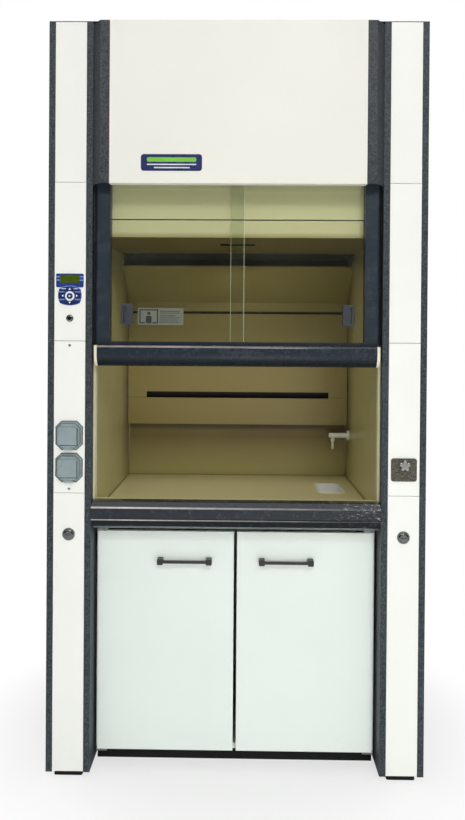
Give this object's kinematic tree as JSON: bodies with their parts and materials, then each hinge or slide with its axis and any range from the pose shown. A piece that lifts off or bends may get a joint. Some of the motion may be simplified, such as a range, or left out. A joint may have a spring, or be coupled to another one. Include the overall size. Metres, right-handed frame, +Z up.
{
  "type": "fume hood",
  "caption": "Floor-standing laboratory fume hood: counterbalanced rising sash with sliding glass panes, lined chamber with baffles, service posts, and a base cabinet with hinged doors.",
  "frame": {"origin": "on the floor, under the middle of the hood", "axes": "+X to the user's right, -Y towards the user, +Z up"},
  "size_m": [1.2, 0.9, 2.48],
  "materials": {
    "anthracite_paint": "textured powder coat",
    "white_paint": "semi-gloss powder coat",
    "dark_trim": "satin powder coat",
    "galvanised": "dull",
    "pp_liner": "satin polypropylene",
    "pp_white": "satin polypropylene",
    "pp_grey": "matte",
    "cream_cap": "gloss",
    "sash_paint": "dark powder coat",
    "clear_glass": "clear",
    "door_board": "melamine faced",
    "black_plastic": "matte",
    "dark_handle": "satin",
    "pull_grey": "matte",
    "socket_grey": "satin",
    "bezel_blue": "gloss",
    "key_blue": "gloss",
    "screen_green": "gloss",
    "chrome_plate": "polished",
    "bronze_plate": "hammered",
    "steel": "turned",
    "weight_iron": "as cast",
    "belt_rubber": "matte",
    "pulley_plastic": "matte"
  },
  "bodies": {
    "hood": {"post_frame_left": "anthracite_paint", "post_frame_right": "anthracite_paint", "frame_rails": "galvanised", "outer_panels": "anthracite_paint", "levelling_feet": "black_plastic", "header_panel": "white_paint", "header_trims": "dark_trim", "post_covers": "white_paint", "control_cover": "white_paint", "socket_cover": "white_paint", "valve_cover": "white_paint", "cover_screws": "steel", "liner_boards": "pp_liner", "baffles": "pp_liner", "baffle_brackets": "pp_grey", "exhaust_cone": "pp_white", "worktop": "pp_liner", "drip_cup": "pp_white", "front_airfoil": "sash_paint", "spout_arm": "pp_white", "hose_nozzle": "pp_white", "cabinet_boards": "door_board", "kick_plate": "black_plastic", "door_hinges": "steel", "sash_guides": "pp_white", "drive_belts": "belt_rubber", "belt_bearings": "steel", "socket_bases": "socket_grey", "controller_housing": "white_paint", "controller_bezel": "bezel_blue", "controller_screen": "screen_green", "chrome_rings": "chrome_plate", "valve_plate": "bronze_plate"},
    "sash": {"sash_frame": "sash_paint", "sash_handle": "sash_paint", "sash_end_caps": "cream_cap", "belt_brackets": "steel"},
    "left_pane": {"pane_left": "clear_glass", "pull_left": "pull_grey"},
    "right_pane": {"pane_right": "clear_glass", "pull_right": "pull_grey"},
    "counterweight_pair": {"counterweights": "weight_iron"},
    "cross_shaft": {"drive_shaft": "steel", "drive_pulleys": "pulley_plastic"},
    "idlers": {"idler_pulleys": "pulley_plastic"},
    "left_door": {"door_left": "door_board", "handle_left": "dark_handle"},
    "right_door": {"door_right": "door_board", "handle_right": "dark_handle"},
    "upper_lid": {"socket_lid_upper": "socket_grey"},
    "lower_lid": {"socket_lid_lower": "socket_grey"},
    "alarm_plunger": {"alarm_button": "chrome_plate"},
    "left_latch": {"latch_left": "chrome_plate"},
    "right_latch": {"latch_right": "chrome_plate"},
    "valve_wheel": {"valve_knob": "chrome_plate"},
    "up_key": {"key_up": "key_blue"},
    "down_key": {"key_down": "key_blue"},
    "left_key": {"key_left": "key_blue"},
    "right_key": {"key_right": "key_blue"},
    "enter_key": {"key_enter": "key_blue"}
  },
  "joints": [
    {"name": "door_left_hinge", "type": "hinge", "parent": "hood", "child": "left_door", "pos_m": [-0.445, -0.335, 0.4], "axis": [0, 0, -1], "range_deg": [0, 90]},
    {"name": "door_right_hinge", "type": "hinge", "parent": "hood", "child": "right_door", "pos_m": [0.445, -0.335, 0.4], "axis": [0, 0, 1], "range_deg": [0, 90]},
    {"name": "pane_left_slide", "type": "slide", "parent": "sash", "child": "left_pane", "axis": [1, 0, 0], "range_m": [0, 0.378]},
    {"name": "pane_right_slide", "type": "slide", "parent": "sash", "child": "right_pane", "axis": [1, 0, 0], "range_m": [-0.378, 0]},
    {"name": "sash_lift", "type": "slide", "parent": "hood", "child": "sash", "axis": [0, 0, 1], "range_m": [-0.415, 0.085]},
    {"name": "socket_lid_lower_hinge", "type": "hinge", "parent": "hood", "child": "lower_lid", "pos_m": [-0.53, -0.427, 1.025], "axis": [-1, 0, 0], "range_deg": [0, 100]},
    {"name": "socket_lid_upper_hinge", "type": "hinge", "parent": "hood", "child": "upper_lid", "pos_m": [-0.53, -0.427, 1.127], "axis": [-1, 0, 0], "range_deg": [0, 100]},
    {"name": "tap_alarm_button", "type": "slide", "parent": "hood", "child": "alarm_plunger", "axis": [0, 1, 0], "range_m": [0, 0.003]},
    {"name": "tap_key_down", "type": "slide", "parent": "hood", "child": "down_key", "axis": [0, 1, 0], "range_m": [0, 0.001]},
    {"name": "tap_key_enter", "type": "slide", "parent": "hood", "child": "enter_key", "axis": [0, 1, 0], "range_m": [0, 0.001]},
    {"name": "tap_key_left", "type": "slide", "parent": "hood", "child": "left_key", "axis": [0, 1, 0], "range_m": [0, 0.001]},
    {"name": "tap_key_right", "type": "slide", "parent": "hood", "child": "right_key", "axis": [0, 1, 0], "range_m": [0, 0.001]},
    {"name": "tap_key_up", "type": "slide", "parent": "hood", "child": "up_key", "axis": [0, 1, 0], "range_m": [0, 0.001]},
    {"name": "turn_latch_left", "type": "hinge", "parent": "hood", "child": "left_latch", "pos_m": [-0.53, -0.41, 0.774], "axis": [0, -1, 0], "range_deg": [0, 90]},
    {"name": "turn_latch_right", "type": "hinge", "parent": "hood", "child": "right_latch", "pos_m": [0.53, -0.41, 0.774], "axis": [0, 1, 0], "range_deg": [0, 90]},
    {"name": "turn_valve_knob", "type": "hinge", "parent": "hood", "child": "valve_wheel", "pos_m": [0.53, -0.43, 1.003], "axis": [0, -1, 0], "range_deg": [0, 270]},
    {"name": "weights_slide", "type": "slide", "parent": "hood", "child": "counterweight_pair", "axis": [0, 0, 1], "range_m": [-0.0851, 0.4151]},
    {"name": "weights_shaft_spin", "type": "hinge", "parent": "hood", "child": "cross_shaft", "pos_m": [0, -0.335, 2.32], "axis": [-1, 0, 0], "range_deg": [-529, 109]},
    {"name": "weights_idler_spin", "type": "hinge", "parent": "hood", "child": "idlers", "pos_m": [0, -0.335, 1.28], "axis": [-1, 0, 0], "range_deg": [-529, 109]}
  ],
  "couplings": [
    {"joint": "weights_slide", "follows": "sash_lift", "ratio": -1},
    {"joint": "weights_shaft_spin", "follows": "sash_lift", "rad_per_m": 22.222},
    {"joint": "weights_idler_spin", "follows": "sash_lift", "rad_per_m": 22.222}
  ]
}
